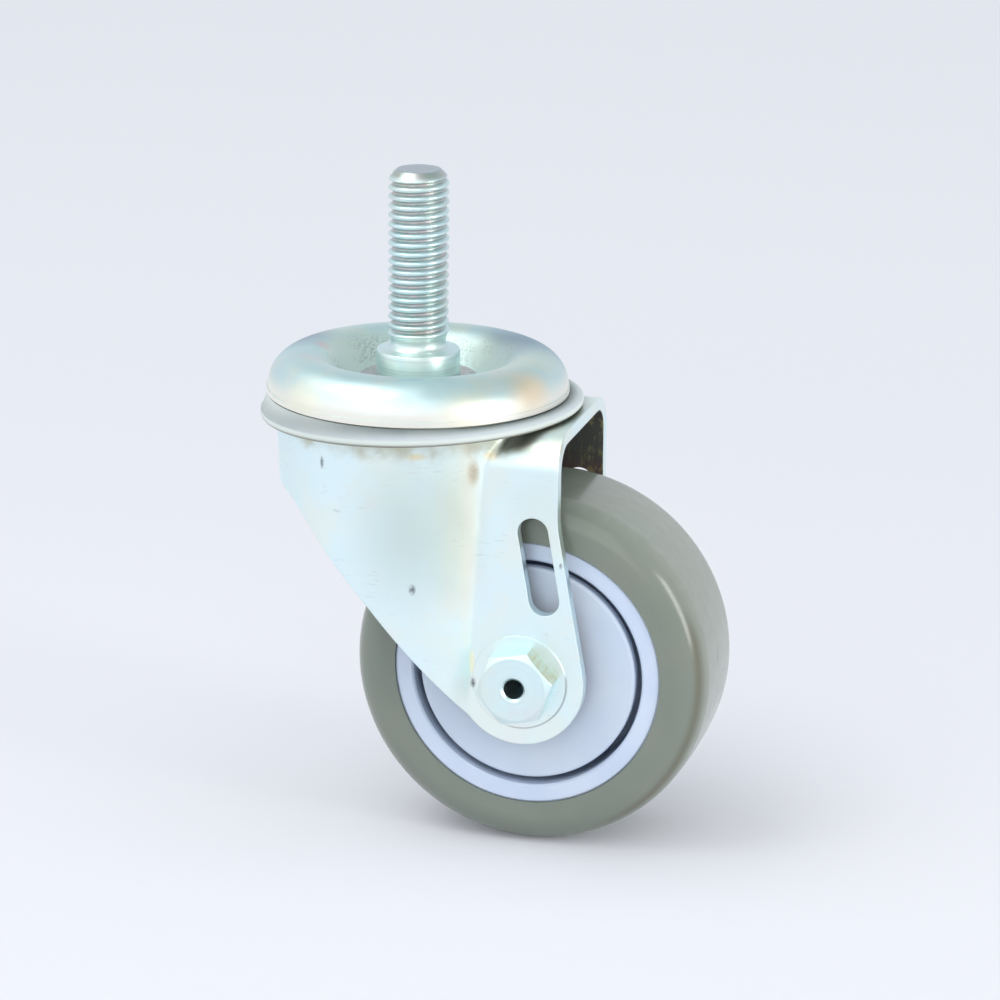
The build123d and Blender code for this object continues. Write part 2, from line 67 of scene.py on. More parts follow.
# ---------------------------------------------------------------- stud
STUD_R = 6.35
TIP_R = 4.6
TIP_ROUND = 0.35
SHANK_R = 6.1
HEAD_R = 8.0
HEAD_END_R = 6.4
HEAD_HEIGHT = 2.6
CAP_R = 0.05
THREAD_PITCH = 1.954
THREAD_DEPTH = 0.92
THREAD_CREST = 0.20
THREAD_ROOT = 0.16
THREAD_START = 2.3
THREAD_ROUNDING = 0.06
THREAD_RUN_OUT = 2.0
CREST_RISE = 2.5
NECK_R = 5.75
NECK_FLARE_R = 7.3
NECK_FLARE_HEIGHT = 1.7
COLLAR_EDGE = 0.45
COLLAR_EDGE_BEND = 0.3
COLLAR_CHAMFER = 0.35
NECK_FOOT = 0.3
CHAMFER_HEIGHT = 2.5
CHAMFER_CURVE = 1.7
ROWS_PER_PITCH = 14
COLUMNS = 112

# ---------------------------------------------------------------- seal
SEAL_TOP_R = 31.65
SEAL_BORE_R = 31.0
SEAL_BORE_BEVEL_R = 0.15
SEAL_BORE_BEVEL_DROP = 0.12
SEAL_FOOT = 0.05
SEAL_SHIFT = 0.9
SEAL_TILT = 2.6
SEAL_RIM = 2.0
SEAL_ROUND = 0.95
# The rim's outline turns from its top to its underside, in degrees above the level.
SEAL_RIM_ANGLES = range(60, -91, -15)
# An edge between faces that meet at more than this many degrees stays sharp.
SHARP_ANGLE = 38.0

# ---------------------------------------------------------------- where the looks change
# Two numbers are where a change starts and ends. A place is measured from the frame's origin.
STEM_PLACE = (0.0, 0.0, 0.0)
AXLE_PLACE = (28.0, 0.0, -64.3)
THREAD_GROOVE_R = (5.45, 6.15)
THREAD_FOOT_Z = (2.0, 3.0)
CUT_END_Z = (37.9, 38.05)
BOWL_R = (17.0, 22.5)
SHELF_SHADE_R = (33.0, 38.0)
SEAL_TOP_FADE_R = (31.7, 34.3)
UNDER_SEAL_Z = (-17.6, -13.6)
NEAR_SIDE_Y = (-20.0, -16.0)
INNER_FACE = (-12.0, -4.0)
INNER_REAR_X = (28.0, 39.0)
INNER_LOW_Z = (-30.0, -24.0)
PAD_R = 10.0
PAD_LINE_WIDTH = (0.05, 0.3)
PAD_LOW_RIGHT = (6.0, 9.0)
BOLT_BORE_R = (2.0, 2.15)
BOLT_NEAR_Y = (-12.0, -10.0)
# The direction of the hex head's side that gets a painted straw reflection.
STRAW_REFLECTION_SIDE = (0.72, 0.0, 0.69)
SHOULDER_R = (34.2, 36.0)
SHOULDER_ABOVE = (9.0, 19.0)
SHOULDER_RIGHT = (10.0, 24.0)
SHOULDER_NEAR_Y = (-14.0, -11.5)
TREAD_SCUFF = ((65.9, -2.4, -61.0), (3.0, 1.6, 2.6), 0.9)

# ---------------------------------------------------------------- tints, marks and painted light
# A spot's centre and radii, its tint as sRGB 0-255, how strong it is and, on the fork, what
# share of it fades. Many spots are painted highlights, reflections and shade; others are tints.
FORK_TINTS_AND_PAINTED_LIGHT = [
    # Painted highlight along the crease.
    ((17.0, -23.0, -30.0), (2.6, 8.0, 34.0), (250, 240, 222), 0.6, 0.9),
    # Painted yellow reflection where the crown's bend meets the leg's bend.
    ((21.5, -22.0, -16.2), (2.2, 4.0, 1.9), (246, 224, 170), 0.8, 0.9),
    ((15.0, -25.0, -31.0), (8.0, 10.0, 26.0), (228, 234, 214), 0.85, 0.9),
    ((7.6, -28.7, -15.6), (3.2, 4.0, 1.1), (244, 222, 164), 0.7, 0.9),
    # Painted dark reflection on the crown's wall.
    ((6.0, -28.0, -32.0), (17.0, 12.0, 24.0), (208, 226, 220), 0.75, 0.95),
    ((32.0, -21.5, -28.0), (9.0, 3.0, 12.0), (232, 242, 236), 0.6, 0.9),
    ((18.3, -23.2, -19.6), (1.8, 3.0, 4.0), (212, 196, 164), 0.7, 0.8),
    # Painted highlight on the bead.
    ((17.8, -21.7, -60.8), (0.65, 3.0, 3.4), (255, 255, 226), 0.95, 0.5),
]
DISH_TINTS_AND_PAINTED_LIGHT = [
    # Painted highlights and reflections on the front of the rolled rim.
    ((27.5, -13.0, -4.0), (8.0, 9.0, 6.0), (250, 226, 190), 0.8),
    ((18.0, -25.0, -6.0), (9.0, 8.0, 6.0), (252, 246, 220), 0.7),
    ((-17.0, -25.0, -6.0), (9.0, 8.0, 6.0), (246, 244, 222), 0.6),
    # Painted shade on the back of the bowl.
    ((11.5, 14.0, -4.0), (8.0, 8.0, 6.0), (176, 186, 170), 0.9),
    # A pink tint of the plating.
    ((-21.0, 0.6, -1.1), (3.0, 3.0, 2.5), (226, 200, 204), 0.6),
    # Painted shade, grey-blue, on the left and back of the rim.
    ((-27.0, 8.0, -2.0), (8.0, 17.0, 8.0), (150, 166, 186), 0.85),
    ((21.0, 20.0, -1.0), (18.0, 22.0, 10.0), (140, 162, 180), 0.85),
]
# A dark mark's centre and radii, and how strong it is. The one at the bead's foot is a dimple's
# painted shade.
FORK_MARKS_AND_PAINTED_SHADE = [
    ((-13.1, -26.4, -18.9), (0.6, 1.6, 1.8), 0.75),
    ((6.6, -27.7, -44.3), (1.0, 1.4, 1.5), 0.75),
    ((-9.6, -27.5, -28.7), (1.6, 1.0, 0.5), 0.2),
    ((36.5, -21.5, -38.5), (0.5, 1.0, 0.9), 0.75),
    # Painted shade in the dimple at the bead's foot.
    ((18.1, -21.8, -65.3), (0.85, 1.4, 1.6), 0.85),
    ((18.3, -23.2, -19.6), (1.3, 3.0, 3.2), 0.22),
]

# ---------------------------------------------------------------- surroundings
# Colours are sRGB 0-255, and the floor's sizes are metres.
BACKDROP = (232, 236, 244)
OVERHEAD = (192, 206, 208)
OVERHEAD_RISE = (0.25, 0.85)
WORLD_LIGHT = 0.70
FLOOR_REACH = 12.0
FLOOR_GLOW_NEAR = 0.12
FLOOR_GLOW_FAR = 0.75
FLOOR_GLOW_SPAN = (0.1, 0.5)


def rgb(red, green, blue):
    """An sRGB colour, 0 to 255, as Blender's linear colour."""
    def linear(value):
        value /= 255
        return value / 12.92 if value <= 0.04045 else ((value + 0.055) / 1.055) ** 2.4
    return (linear(red), linear(green), linear(blue), 1.0)


# ---------------------------------------------------------------- shader helpers
def add(tree, kind, inputs=None, **settings):
    """Adds a shader node. Each input is a plain value or the output that it is linked to."""
    made = tree.nodes.new("ShaderNode" + kind)
    for key, value in settings.items():
        setattr(made, key, value)
    for key, value in (inputs or {}).items():
        if isinstance(value, bpy.types.NodeSocket):
            tree.links.new(value, made.inputs[key])
        else:
            made.inputs[key].default_value = value
    return made


def surface_point(tree, stretch=(1.0, 1.0, 1.0)):
    """The point on the piece in millimetres, stretched along each axis."""
    place = add(tree, "TexCoord").outputs["Object"]
    scale = [factor / MM for factor in stretch]
    return add(tree, "Mapping", {"Vector": place, "Scale": scale}).outputs["Vector"]


def noise(tree, size, detail=2.0, roughness=0.5, stretch=(1.0, 1.0, 1.0), shift=0.0):
    """Smooth noise, 0 to 1, whose spots are about size millimetres across."""
    point = surface_point(tree, stretch)
    moved = add(tree, "VectorMath", {0: point, 1: (shift, shift, shift)}, operation="ADD")
    made = add(tree, "TexNoise", {
        "Vector": moved.outputs[0],
        "Scale": 1.0 / size,
        "Detail": detail,
        "Roughness": roughness,
    })
    return made.outputs["Fac"]


def ramp(tree, value, low, high, out_low=0.0, out_high=1.0):
    """Maps value smoothly from low..high to out_low..out_high, and holds it outside them."""
    made = add(tree, "MapRange", {
        "Value": value,
        "From Min": low,
        "From Max": high,
        "To Min": out_low,
        "To Max": out_high,
    }, interpolation_type="SMOOTHSTEP")
    return made.outputs["Result"]


def maths(tree, operation, first, second=0.0):
    return add(tree, "Math", {0: first, 1: second}, operation=operation).outputs[0]


def times(tree, first, second):
    return maths(tree, "MULTIPLY", first, second)


def mix(tree, share, first, second):
    """Mixes two colours by share, 0 to 1."""
    made = add(tree, "Mix", data_type="RGBA")
    for index, value in ((0, share), (6, first), (7, second)):
        if isinstance(value, bpy.types.NodeSocket):
            tree.links.new(value, made.inputs[index])
        else:
            made.inputs[index].default_value = value
    return made.outputs[2]


def bump(tree, height, depth, before=None):
    """A normal raised by height, 0 to 1, times depth in millimetres."""
    inputs = {"Height": height, "Distance": depth * MM}
    if before is not None:
        inputs["Normal"] = before
    return add(tree, "Bump", inputs).outputs["Normal"]


def soft_edges(tree, radius):
    """A normal that rounds the piece's sharp edges by radius millimetres."""
    return add(tree, "Bevel", {"Radius": radius * MM}, samples=6).outputs["Normal"]


def facing(tree, axis):
    """How far the surface faces along an axis of the piece, -1 to 1."""
    normal = add(tree, "TexCoord").outputs["Normal"]
    return add(tree, "SeparateXYZ", {"Vector": normal}).outputs[axis]


def along(tree, axis):
    """The surface point's place along one axis, in millimetres."""
    return add(tree, "SeparateXYZ", {"Vector": surface_point(tree)}).outputs[axis]


def stem_distance(tree):
    """The surface point's distance from the stem's axis, in millimetres."""
    level = surface_point(tree, (1.0, 1.0, 0.0))
    return add(tree, "VectorMath", {0: level}, operation="LENGTH").outputs["Value"]


def spot(tree, centre, radii, edge):
    """1 inside an ellipsoid about centre, in millimetres. Its outer share, edge, fades to 0."""
    stretch = [1.0 / radius for radius in radii]
    point = surface_point(tree, stretch)
    middle = [place / radius for place, radius in zip(centre, radii)]
    far = add(tree, "VectorMath", {0: point, 1: middle}, operation="DISTANCE").outputs["Value"]
    return ramp(tree, far, 1.0 - edge, 1.0, 1.0, 0.0)


def material(name, roughness, metallic=0.0, **plain):
    """A Principled material. Numbers that are the same all over stay on its own sockets."""
    made = bpy.data.materials.new(name)
    made.use_nodes = True
    shader = made.node_tree.nodes["Principled BSDF"]
    shader.inputs["Metallic"].default_value = metallic
    shader.inputs["Roughness"].default_value = roughness
    for key, value in plain.items():
        shader.inputs[key.replace("_", " ").title()].default_value = value
    return made, made.node_tree, shader


def drive(tree, shader, socket, value):
    tree.links.new(value, shader.inputs[socket])


# ---------------------------------------------------------------- materials
def zinc_tints(tree, cool, warm, rose, share):
    """Bright zinc's drifting tints: cool blue-white with soft clouds of straw and rose."""
    clouds = ramp(tree, noise(tree, 16.0, 3.0, 0.55), 0.42, 0.66, 0.0, share)
    blush = ramp(tree, noise(tree, 11.0, 2.0, 0.5, shift=40.0), 0.55, 0.74, 0.0, share * 0.7)
    return mix(tree, blush, mix(tree, clouds, cool, warm), rose)


def zinc_grain(tree, depth, before=None):
    """The plating's fine orange-peel skin."""
    fine = bump(tree, noise(tree, 0.9, 1.5, 0.5), depth, before)
    return bump(tree, noise(tree, 6.0, 1.0, 0.5), depth * 3.0, fine)


def make_fork_zinc():
    made, tree, shader = material("fork_zinc", 0.36, 1.0)
    colour = zinc_tints(tree, rgb(232, 251, 253), rgb(246, 248, 234), rgb(242, 240, 244), 0.5)
    # Painted highlights and reflections, and the plating's tints, in spots.
    for centre, radii, tint, share, edge in FORK_TINTS_AND_PAINTED_LIGHT:
        colour = mix(tree, times(tree, spot(tree, centre, radii, edge), share), colour, rgb(*tint))
    # Painted shade under the seal's rim.
    colour = mix(tree, painted_shade_under_seal(tree), colour, rgb(178, 172, 138))
    colour = mix(tree, times(tree, shelf_shade(tree), 0.55), colour, rgb(104, 98, 88))
    inner = inner_faces(tree)
    # Painted shade and painted reflections on the legs' inner faces.
    colour = mix(tree, inner, colour, inner_painted_shade(tree))
    worn = ramp(tree, noise(tree, 0.7, 3.0, 0.6), 0.35, 0.55, 0.35, 1.0)
    # Dark marks, and the dimple's painted shade.
    for centre, radii, share in FORK_MARKS_AND_PAINTED_SHADE:
        mark = times(tree, times(tree, spot(tree, centre, radii, 0.8), share), worn)
        colour = mix(tree, mark, colour, rgb(84, 88, 94))
    # Painted shadow under the pad's lower right edge.
    colour = mix(tree, times(tree, painted_pad_shadow(tree), 0.45), colour, rgb(96, 96, 92))
    colour = mix(tree, scratches(tree), colour, rgb(172, 178, 172))
    drive(tree, shader, "Base Color", colour)
    drive(tree, shader, "Metallic", ramp(tree, inner, 0.0, 1.0, 1.0, 0.35))
    drive(tree, shader, "Roughness", ramp(tree, noise(tree, 7.0, 4.0, 0.6), 0.3, 0.7, 0.32, 0.44))
    drive(tree, shader, "Normal", zinc_grain(tree, 0.008, soft_edges(tree, 0.3)))
    return made


def painted_shade_under_seal(tree):
    """Painted shade on the fork's crown just under the seal: an olive line, 0 to 1, fading
    downwards.
    """
    ragged = ramp(tree, noise(tree, 3.0, 4.0, 0.6), 0.3, 0.7, -0.8, 0.8)
    height = maths(tree, "ADD", along(tree, "Z"), ragged)
    near_side = ramp(tree, along(tree, "Y"), *NEAR_SIDE_Y, 1.0, 0.0)
    band = times(tree, ramp(tree, height, *UNDER_SEAL_Z), near_side)
    patchy = ramp(tree, noise(tree, 7.0, 2.0, 0.5, shift=11.0), 0.35, 0.65, 0.25, 0.7)
    return times(tree, band, patchy)


def scratches(tree):
    """Faint fine handling scratches across the sheet, 0 to 0.3."""
    fine = noise(tree, 1.6, 3.0, 0.6, (0.35, 1.0, 3.2), shift=23.0)
    where = ramp(tree, noise(tree, 9.0, 2.0, 0.5, shift=31.0), 0.5, 0.68)
    return times(tree, times(tree, ramp(tree, fine, 0.60, 0.70), where), 0.3)


def inner_faces(tree):
    """0.92 on the legs' inner faces and 0 elsewhere, by which way they look across the axle."""
    across = times(tree, facing(tree, "Y"), along(tree, "Y"))
    return ramp(tree, across, *INNER_FACE, 0.92, 0.0)


def inner_painted_shade(tree):
    """Painted shade inside the fork: dark brown, redder low, with olive-gold painted reflections.
    """
    streaks = ramp(tree, noise(tree, 1.3, 4.0, 0.65, (1.0, 1.0, 0.3)), 0.48, 0.68)
    rear = ramp(tree, along(tree, "X"), *INNER_REAR_X, 0.12, 0.9)
    low = ramp(tree, along(tree, "Z"), *INNER_LOW_Z, 0.75, 0.0)
    brown = mix(tree, low, rgb(54, 47, 38), rgb(88, 36, 40))
    return mix(tree, times(tree, streaks, rear), brown, rgb(204, 190, 112))


def shelf_shade(tree):
    """1 on the fork's level top close to the seal's edge, where it stays dull and shaded."""
    near = ramp(tree, stem_distance(tree), *SHELF_SHADE_R, 1.0, 0.0)
    return times(tree, near, ramp(tree, facing(tree, "Z"), 0.3, 0.8))


def axle_distance(tree):
    """The distance from the axle's line, and the place right of it and above it, millimetres."""
    offset = add(tree, "VectorMath", {0: surface_point(tree), 1: AXLE_PLACE}, operation="SUBTRACT")
    parts = add(tree, "SeparateXYZ", {"Vector": offset.outputs[0]}).outputs
    flat = add(tree, "CombineXYZ", {"X": parts["X"], "Z": parts["Z"]}).outputs[0]
    radius = add(tree, "VectorMath", {0: flat}, operation="LENGTH").outputs["Value"]
    return radius, parts["X"], parts["Z"]


def painted_pad_shadow(tree):
    """The thin painted shadow under the lower right edge of the pad round the axle."""
    radius, right, above = axle_distance(tree)
    away = maths(tree, "ABSOLUTE", maths(tree, "SUBTRACT", radius, PAD_R))
    low_right = ramp(tree, maths(tree, "SUBTRACT", right, above), *PAD_LOW_RIGHT)
    return times(tree, ramp(tree, away, *PAD_LINE_WIDTH, 1.0, 0.0), low_right)


def make_dish_zinc():
    made, tree, shader = material("dish_zinc", 0.42, 1.0)
    colour = zinc_tints(tree, rgb(206, 228, 230), rgb(232, 234, 216), rgb(228, 220, 218), 0.5)
    # Painted highlight: the rolled rim's level and downward faces are lighter.
    down = ramp(tree, facing(tree, "Z"), 0.05, 0.65, 1.0, 0.0)
    colour = mix(tree, down, colour, rgb(247, 246, 236))
    # Painted highlights, reflections and shade in spots, and a pink tint.
    for centre, radii, tint, share in DISH_TINTS_AND_PAINTED_LIGHT:
        colour = mix(tree, times(tree, spot(tree, centre, radii, 0.9), share), colour, rgb(*tint))
    bowl = inside_bowl(tree)
    colour = mix(tree, times(tree, bowl, 0.7), colour, rgb(214, 230, 222))
    grains = ramp(tree, noise(tree, 0.55, 3.0, 0.65), 0.46, 0.62)
    patch = ramp(tree, noise(tree, 7.0, 3.0, 0.6, shift=7.0), 0.44, 0.62)
    speckle = times(tree, times(tree, grains, patch), bowl)
    colour = mix(tree, times(tree, speckle, 0.45), colour, rgb(132, 138, 118))
    drive(tree, shader, "Base Color", colour)
    rough = ramp(tree, noise(tree, 6.0, 3.0, 0.6), 0.3, 0.7, 0.40, 0.50)
    drive(tree, shader, "Roughness", maths(tree, "ADD", rough, times(tree, bowl, 0.08)))
    drive(tree, shader, "Normal", zinc_grain(tree, 0.006))
    return made


def inside_bowl(tree):
    """1 on the dish's inner slope and floor and 0 on its rolled rim."""
    return ramp(tree, stem_distance(tree), *BOWL_R, 1.0, 0.0)


def turned_rings(tree, axis, centre, size):
    """Noise that is the same all round an axis through centre, as a lathe's tool leaves it."""
    keep = [0.0 if letter == axis else 1.0 for letter in "XYZ"]
    offset = add(tree, "VectorMath", {0: surface_point(tree), 1: centre}, operation="SUBTRACT")
    flat = add(tree, "VectorMath", {0: offset.outputs[0], 1: keep}, operation="MULTIPLY")
    radius = add(tree, "VectorMath", {0: flat.outputs[0]}, operation="LENGTH")
    ring = add(tree, "CombineXYZ", {"X": radius.outputs["Value"], "Y": along(tree, axis)})
    made = add(tree, "TexNoise", {"Vector": ring.outputs[0], "Scale": 1.0 / size, "Detail": 3.0})
    return made.outputs["Fac"]


def make_turned_zinc(name, axis, centre, plain, ring_share):
    """Zinc on a turned piece: plain is its colour, and ring_share how dark its rings are."""
    made, tree, shader = material(name, 0.34, 1.0)
    colour = zinc_tints(tree, plain, rgb(238, 238, 222), rgb(236, 230, 236), 0.45)
    rings = turned_rings(tree, axis, centre, 0.5)
    drive(tree, shader, "Roughness", ramp(tree, rings, 0.3, 0.7, 0.32, 0.44))
    drive(tree, shader, "Normal", bump(tree, rings, 0.03 * ring_share, soft_edges(tree, 0.3)))
    colour = mix(tree, ramp(tree, rings, 0.5, 0.68, 0.0, ring_share), colour, rgb(178, 192, 194))
    drive(tree, shader, "Base Color", colour)
    return made, tree, shader, colour


def make_bolt_zinc():
    """Axle zinc: painted straw reflection on the hex side that looks up and back; painted shade in
    the bore.
    """
    plain = rgb(224, 246, 248)
    made, tree, shader, colour = make_turned_zinc("bolt_zinc", "Y", AXLE_PLACE, plain, 0.15)
    # A painted straw reflection on the hex side that looks up and back.
    normal = add(tree, "TexCoord").outputs["Normal"]
    looks = add(tree, "VectorMath", {0: normal, 1: STRAW_REFLECTION_SIDE}, operation="DOT_PRODUCT")
    straw = ramp(tree, looks.outputs["Value"], 0.75, 0.92, 0.0, 0.8)
    streaks = ramp(tree, noise(tree, 1.2, 3.0, 0.6, (1.0, 0.2, 1.0)), 0.35, 0.65, 0.55, 1.0)
    colour = mix(tree, times(tree, straw, streaks), colour, rgb(206, 192, 146))
    # Painted shade in the near end's bore.
    bore = ramp(tree, axle_distance(tree)[0], *BOLT_BORE_R, 0.9, 0.0)
    bore = times(tree, bore, ramp(tree, along(tree, "Y"), *BOLT_NEAR_Y, 1.0, 0.0))
    drive(tree, shader, "Base Color", mix(tree, bore, colour, rgb(62, 84, 108)))
    return made


def make_stud_zinc():
    """The stud's zinc: painted olive shade in the thread's grooves, rosy in places, and a dull cut
    end.
    """
    plain = rgb(216, 239, 241)
    made, tree, shader, colour = make_turned_zinc("stud_zinc", "Z", STEM_PLACE, plain, 0.4)
    # Painted olive shade in the thread's grooves, rosy in patches.
    above = ramp(tree, along(tree, "Z"), *THREAD_FOOT_Z)
    groove = times(tree, ramp(tree, stem_distance(tree), *THREAD_GROOVE_R, 1.0, 0.0), above)
    patch = ramp(tree, noise(tree, 4.0, 3.0, 0.6, (1.0, 1.0, 0.5)), 0.35, 0.65)
    dull = mix(tree, patch, rgb(150, 160, 148), rgb(182, 158, 156))
    colour = mix(tree, times(tree, groove, 0.62), colour, dull)
    cut_end = ramp(tree, along(tree, "Z"), *CUT_END_Z)
    colour = mix(tree, times(tree, cut_end, 0.8), colour, rgb(182, 192, 200))
    drive(tree, shader, "Base Color", colour)
    return made


def make_mottled_zinc():
    made, tree, shader = material("mottled_zinc", 0.42, 1.0)
    spots = ramp(tree, noise(tree, 1.4, 5.0, 0.7), 0.4, 0.62)
    drive(tree, shader, "Base Color", mix(tree, spots, rgb(176, 184, 186), rgb(214, 204, 204)))
    drive(tree, shader, "Normal", zinc_grain(tree, 0.02, soft_edges(tree, 0.3)))
    return made


def make_tread():
    made, tree, shader = material("tread_polyurethane", 0.17, Coat_weight=0.18, Coat_roughness=0.08)
    cloud = ramp(tree, noise(tree, 18.0, 3.0, 0.5), 0.35, 0.65)
    colour = mix(tree, cloud, rgb(120, 130, 119), rgb(124, 132, 121))
    # A pale share on the running surface: partly dust and partly a painted sheen of grazing light.
    face = ramp(tree, maths(tree, "ABSOLUTE", facing(tree, "Y")), 0.25, 0.8, 1.0, 0.0)
    dust_and_sheen = times(tree, face, ramp(tree, noise(tree, 3.0, 3.0, 0.6), 0.3, 0.8, 0.07, 0.13))
    colour = mix(tree, dust_and_sheen, colour, rgb(200, 202, 198))
    scuff = ramp(tree, noise(tree, 1.4, 3.0, 0.6), 0.35, 0.6, 0.15, 0.65)
    scuff = times(tree, scuff, spot(tree, *TREAD_SCUFF))
    colour = mix(tree, scuff, colour, rgb(96, 102, 96))
    # A painted dark reflection on the near shoulder, low on the right.
    radius, right, above = axle_distance(tree)
    level = ramp(tree, above, *SHOULDER_ABOVE, 1.0, 0.0)
    shoulder = times(tree, ramp(tree, radius, *SHOULDER_R), level)
    shoulder = times(tree, shoulder, ramp(tree, facing(tree, "Y"), -0.92, -0.6, 0.0, 1.0))
    near_rim = ramp(tree, along(tree, "Y"), *SHOULDER_NEAR_Y, 1.0, 0.0)
    painted_dark_reflection = times(tree, times(tree, shoulder, near_rim), ramp(tree, right, *SHOULDER_RIGHT))
    colour = mix(tree, times(tree, painted_dark_reflection, 0.7), colour, rgb(92, 86, 66))
    drive(tree, shader, "Base Color", colour)
    drive(tree, shader, "Roughness", ramp(tree, noise(tree, 12.0, 2.0, 0.5), 0.3, 0.7, 0.19, 0.24))
    drive(tree, shader, "Normal", bump(tree, noise(tree, 9.0, 1.0, 0.5), 0.03))
    return made


def make_moulded(name, colour, shade, roughness):
    """Satin moulded plastic with faint flow clouds."""
    made, tree, shader = material(name, roughness)
    cloud = ramp(tree, noise(tree, 14.0, 3.0, 0.55), 0.35, 0.65)
    drive(tree, shader, "Base Color", mix(tree, cloud, colour, shade))
    edges = soft_edges(tree, 0.25)
    drive(tree, shader, "Normal", bump(tree, noise(tree, 0.7, 3.0, 0.6), 0.008, edges))
    return made


def make_seal():
    """Grey plastic with painted shade: darker towards the dish on top, dark beige under its rim."""
    made, tree, shader = material("seal_plastic", 0.5)
    # Painted shadow of the dish on the top, darker towards the dish.
    outward = ramp(tree, stem_distance(tree), *SEAL_TOP_FADE_R)
    top = mix(tree, outward, rgb(112, 122, 124), rgb(188, 200, 204))
    upward = facing(tree, "Z")
    side = mix(tree, ramp(tree, upward, 0.25, 0.75), rgb(208, 218, 214), top)
    # Painted shade on the rim's underside.
    colour = mix(tree, ramp(tree, upward, -0.75, -0.05), rgb(128, 125, 108), side)
    cloud = ramp(tree, noise(tree, 9.0, 4.0, 0.6), 0.4, 0.7, 0.0, 0.15)
    drive(tree, shader, "Base Color", mix(tree, cloud, colour, rgb(196, 198, 192)))
    drive(tree, shader, "Normal", bump(tree, noise(tree, 0.9, 2.0, 0.5), 0.008))
    return made


def make_steel(name, colour, roughness):
    """Ground or polished bearing steel with a faint stain."""
    made, tree, shader = material(name, roughness, 1.0)
    stain = ramp(tree, noise(tree, 3.0, 3.0, 0.5), 0.4, 0.8, 0.0, 0.4)
    drive(tree, shader, "Base Color", mix(tree, stain, colour, rgb(150, 152, 156)))
    return made


# ---------------------------------------------------------------- places on the CAD pieces
def box_of(name):
    """A node's lowest and highest corner, in millimetres."""
    low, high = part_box(name)
    return low / MM, high / MM


# ---------------------------------------------------------------- meshes
def grid_mesh(name, rows, looped=False):
    """A closed skin over rings of points in millimetres. Looped, the last ring joins the first,
    and otherwise the first and the last are capped."""
    mesh = bpy.data.meshes.new(name)
    work = bmesh.new()
    rings = [[work.verts.new(Vector(point) * MM) for point in row] for row in rows]
    pairs = list(zip(rings, rings[1:]))
    if looped:
        pairs.append((rings[-1], rings[0]))
    for lower, upper in pairs:
        for i in range(len(lower)):
            j = (i + 1) % len(lower)
            work.faces.new((lower[i], lower[j], upper[j], upper[i]))
    if not looped:
        work.faces.new(list(reversed(rings[0])))
        work.faces.new(rings[-1])
    bmesh.ops.recalc_face_normals(work, faces=work.faces[:])
    work.to_mesh(mesh)
    work.free()
    mesh.shade_smooth()
    mesh.set_sharp_from_angle(angle=radians(SHARP_ANGLE))
    made = bpy.data.objects.new(name, mesh)
    bpy.context.scene.collection.objects.link(made)
    return made


def thread_depth(height, angle):
    """How deep the thread's groove is at a height and angle, 0 at a crest and 1 at a root."""
    phase = (height / THREAD_PITCH - angle / (2 * pi)) % 1.0
    from_crest = min(phase, 1.0 - phase) * 2
    flank = (from_crest - THREAD_CREST) / (1.0 - THREAD_CREST - THREAD_ROOT)
    flank = max(0.0, min(1.0, flank))
    return flank - THREAD_ROUNDING * sin(2 * pi * flank)


def stud_radius(height, angle, top):
    """The stud's radius above its collar, with its thread, run-out, neck and chamfer."""
    into_chamfer = max(0.0, 1.0 - (top - height) / CHAMFER_HEIGHT)
    chamfer_r = STUD_R - (STUD_R - TIP_R) * into_chamfer ** CHAMFER_CURVE
    fade = max(0.0, min(1.0, (height - THREAD_START) / THREAD_RUN_OUT))
    root_r = STUD_R - THREAD_DEPTH
    crest_r = NECK_R + (STUD_R - NECK_R) * min(1.0, fade * CREST_RISE)
    threaded = crest_r - (crest_r - root_r) * thread_depth(height, angle) * fade
    flare = max(0.0, 1.0 - height / NECK_FLARE_HEIGHT)
    flared = NECK_R + (NECK_FLARE_R - NECK_R) * (1.0 - sqrt(max(0.0, 1.0 - flare ** 2)))
    return max(min(threaded, chamfer_r), flared if height < NECK_FLARE_HEIGHT else 0.0)


def circle(radius, height):
    turn = 2 * pi / COLUMNS
    return [(radius * cos(turn * i), radius * sin(turn * i), height) for i in range(COLUMNS)]


def make_stud():
    """The threaded stud, with the collar, shank and rivet head of the CAD piece below it."""
    low, high = box_of("threaded_stem")
    collar_r = high.x
    collar_under = box_of("stem_washer")[1].z
    head_top = low.z + HEAD_HEIGHT
    edge_bend = COLLAR_EDGE * COLLAR_EDGE_BEND
    rows = [
        circle(CAP_R, low.z),
        circle(HEAD_END_R, low.z),
        circle(HEAD_R, head_top),
        circle(SHANK_R, head_top),
        circle(SHANK_R, collar_under),
        circle(collar_r - COLLAR_CHAMFER, collar_under),
        circle(collar_r, collar_under + COLLAR_CHAMFER),
        circle(collar_r, -COLLAR_EDGE),
        circle(collar_r - edge_bend, -edge_bend),
        circle(collar_r - COLLAR_EDGE, 0.0),
        circle(NECK_FLARE_R + NECK_FOOT, 0.0),
    ]
    turn = 2 * pi / COLUMNS
    steps = ceil(high.z / THREAD_PITCH * ROWS_PER_PITCH)
    for step in range(steps + 1):
        height = high.z * step / steps
        radii = [stud_radius(height, turn * i, high.z) for i in range(COLUMNS)]
        rows.append([(r * cos(turn * i), r * sin(turn * i), height) for i, r in enumerate(radii)])
    rows.append(circle(TIP_R - TIP_ROUND, high.z))
    rows.append(circle(CAP_R, high.z))
    return grid_mesh("threaded_stud", rows)


